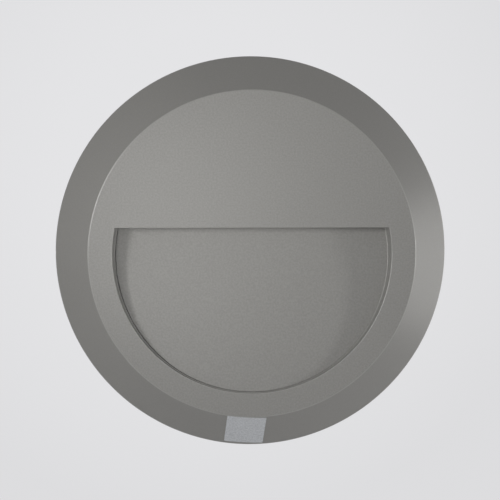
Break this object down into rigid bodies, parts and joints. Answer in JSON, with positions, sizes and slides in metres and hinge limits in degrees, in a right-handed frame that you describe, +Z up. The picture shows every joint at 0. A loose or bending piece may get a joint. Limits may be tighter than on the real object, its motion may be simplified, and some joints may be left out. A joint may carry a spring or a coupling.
{
  "type": "round surface-mounted LED wall light",
  "caption": "Round surface-mounted LED wall light: a cast grey dish with a sloping rim and a half-round recess under a straight hood that throws light down.",
  "frame": {"origin": "centre of the wall bracket's back face, in the wall's plane, on the casing's axis", "axes": "+Z up the wall, +X to the right, -Y out of the wall through the front face"},
  "size_m": [0.23, 0.028, 0.23],
  "materials": {
    "casing_coat": "fine textured powder coat, satin",
    "ramp_panel_coat": "fine textured powder coat, satin",
    "label_foil": "matt silver label foil",
    "bracket_steel": "galvanised",
    "back_cover_steel": "galvanised",
    "screw_steel": "bright",
    "grub_steel": "blackened",
    "gasket_foam": "closed-cell foam",
    "seal_silicone": "matt silicone",
    "grommet_rubber": "matt",
    "window_frosted": "frosted, lets light through",
    "carrier_aluminium": "mill",
    "led_board_white": "white solder mask",
    "led_phosphor": "phosphor in a white cup",
    "driver_plastic": "satin",
    "driver_board_green": "solder mask",
    "terminal_plastic": "satin",
    "clamp_brass": "turned",
    "lead_live_jacket": "brown",
    "lead_neutral_jacket": "blue",
    "lead_earth_jacket": "green and yellow",
    "lead_led_plus_jacket": "red",
    "lead_led_minus_jacket": "black"
  },
  "bodies": {
    "bracket": {"wall_bracket": "bracket_steel"},
    "lamp": {"casing": "casing_coat", "ramp_panel": "ramp_panel_coat", "ramp_seal": "seal_silicone", "wall_gasket": "gasket_foam", "rating_label": "label_foil", "ramp_screw_1": "screw_steel", "ramp_screw_2": "screw_steel", "ramp_screw_3": "screw_steel", "ramp_screw_4": "screw_steel", "back_cover": "back_cover_steel", "cover_seal": "seal_silicone", "cable_grommet": "grommet_rubber", "cover_screw_1": "screw_steel", "cover_screw_2": "screw_steel", "cover_screw_3": "screw_steel", "cover_screw_4": "screw_steel", "cover_screw_5": "screw_steel", "cover_screw_6": "screw_steel", "light_window": "window_frosted", "window_seal": "seal_silicone", "led_carrier": "carrier_aluminium", "carrier_screw_left": "screw_steel", "carrier_screw_right": "screw_steel", "led_board": "led_board_white", "led_01": "led_phosphor", "led_02": "led_phosphor", "led_03": "led_phosphor", "led_04": "led_phosphor", "led_05": "led_phosphor", "led_06": "led_phosphor", "led_07": "led_phosphor", "led_08": "led_phosphor", "led_09": "led_phosphor", "led_10": "led_phosphor", "led_11": "led_phosphor", "led_12": "led_phosphor", "driver_case": "driver_plastic", "driver_board": "driver_board_green", "driver_lid": "driver_plastic", "driver_screw_left": "screw_steel", "driver_screw_right": "screw_steel", "terminal_block": "terminal_plastic", "terminal_screw_1": "screw_steel", "terminal_screw_2": "screw_steel", "terminal_clamp_1": "clamp_brass", "terminal_clamp_2": "clamp_brass", "terminal_clamp_3": "clamp_brass", "earth_tag": "clamp_brass", "earth_screw": "screw_steel", "lead_live": "lead_live_jacket", "lead_neutral": "lead_neutral_jacket", "lead_earth": "lead_earth_jacket", "lead_led_plus": "lead_led_plus_jacket", "lead_led_minus": "lead_led_minus_jacket"},
    "grub_left": {"grub_screw_left": "grub_steel"},
    "grub_right": {"grub_screw_right": "grub_steel"}
  },
  "joints": [
    {"name": "lamp_lift_off", "type": "slide", "parent": "bracket", "child": "lamp", "axis": [0, -1, 0], "range_m": [0, 0.03]},
    {"name": "grub_left_back_out", "type": "slide", "parent": "lamp", "child": "grub_left", "axis": [-1, 0, 0], "range_m": [0, 0.003]},
    {"name": "grub_right_back_out", "type": "slide", "parent": "lamp", "child": "grub_right", "axis": [1, 0, 0], "range_m": [0, 0.003]}
  ]
}
